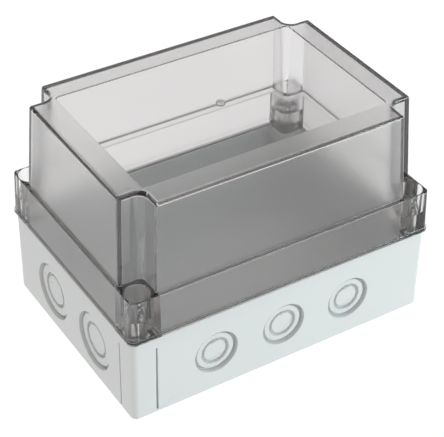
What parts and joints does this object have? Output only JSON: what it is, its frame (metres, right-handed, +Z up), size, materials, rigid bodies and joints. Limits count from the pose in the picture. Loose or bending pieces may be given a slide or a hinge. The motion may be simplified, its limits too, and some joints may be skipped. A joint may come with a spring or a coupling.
{
  "type": "polycarbonate enclosure",
  "caption": "Wall box for electronics: pale grey base tray with knock-outs and a tall smoked clear cover, notched at its corners for captive screws.",
  "frame": {"origin": "middle of the underside of the base, on the surface it rests on", "axes": "+Z up out of the cover, +X along the long side, front long side faces -Y"},
  "size_m": [0.18, 0.13, 0.125],
  "materials": {
    "grey_polycarbonate": "fine satin moulded grey",
    "smoked_polycarbonate": "clear, tinted grey, polished",
    "foam_seal": "foamed-in-place seal with a fine closed skin",
    "clear_screw": "clear, tinted grey, moulded",
    "ring_rubber": "matt"
  },
  "bodies": {
    "tray": {"base": "grey_polycarbonate", "gasket": "foam_seal"},
    "lid": {"cover": "smoked_polycarbonate"},
    "ring_front_left": {"retaining_ring_front_left": "ring_rubber"},
    "ring_front_right": {"retaining_ring_front_right": "ring_rubber"},
    "ring_back_left": {"retaining_ring_back_left": "ring_rubber"},
    "ring_back_right": {"retaining_ring_back_right": "ring_rubber"},
    "screw_front_left": {"cover_screw_front_left": "clear_screw"},
    "screw_front_right": {"cover_screw_front_right": "clear_screw"},
    "screw_back_left": {"cover_screw_back_left": "clear_screw"},
    "screw_back_right": {"cover_screw_back_right": "clear_screw"}
  },
  "joints": [
    {"name": "cover_lift", "type": "slide", "parent": "tray", "child": "lid", "axis": [0, 0, 1], "range_m": [0, 0.1]},
    {"name": "screw_lift_front_left", "type": "slide", "parent": "lid", "child": "ring_front_left", "axis": [0, 0, 1], "range_m": [0, 0.009]},
    {"name": "screw_lift_front_right", "type": "slide", "parent": "lid", "child": "ring_front_right", "axis": [0, 0, 1], "range_m": [0, 0.009]},
    {"name": "screw_lift_back_left", "type": "slide", "parent": "lid", "child": "ring_back_left", "axis": [0, 0, 1], "range_m": [0, 0.009]},
    {"name": "screw_lift_back_right", "type": "slide", "parent": "lid", "child": "ring_back_right", "axis": [0, 0, 1], "range_m": [0, 0.009]},
    {"name": "screw_turn_front_left", "type": "hinge", "parent": "ring_front_left", "child": "screw_front_left", "pos_m": [-0.08125, -0.05625, 0.062], "axis": [0, 0, 1], "range_deg": [0, 1620]},
    {"name": "screw_turn_front_right", "type": "hinge", "parent": "ring_front_right", "child": "screw_front_right", "pos_m": [0.08125, -0.05625, 0.062], "axis": [0, 0, 1], "range_deg": [0, 1620]},
    {"name": "screw_turn_back_left", "type": "hinge", "parent": "ring_back_left", "child": "screw_back_left", "pos_m": [-0.08125, 0.05625, 0.062], "axis": [0, 0, 1], "range_deg": [0, 1620]},
    {"name": "screw_turn_back_right", "type": "hinge", "parent": "ring_back_right", "child": "screw_back_right", "pos_m": [0.08125, 0.05625, 0.062], "axis": [0, 0, 1], "range_deg": [0, 1620]}
  ],
  "couplings": [
    {"joint": "screw_turn_front_left", "follows": "screw_lift_front_left", "rad_per_m": 3141.6},
    {"joint": "screw_turn_front_right", "follows": "screw_lift_front_right", "rad_per_m": 3141.6},
    {"joint": "screw_turn_back_left", "follows": "screw_lift_back_left", "rad_per_m": 3141.6},
    {"joint": "screw_turn_back_right", "follows": "screw_lift_back_right", "rad_per_m": 3141.6}
  ]
}
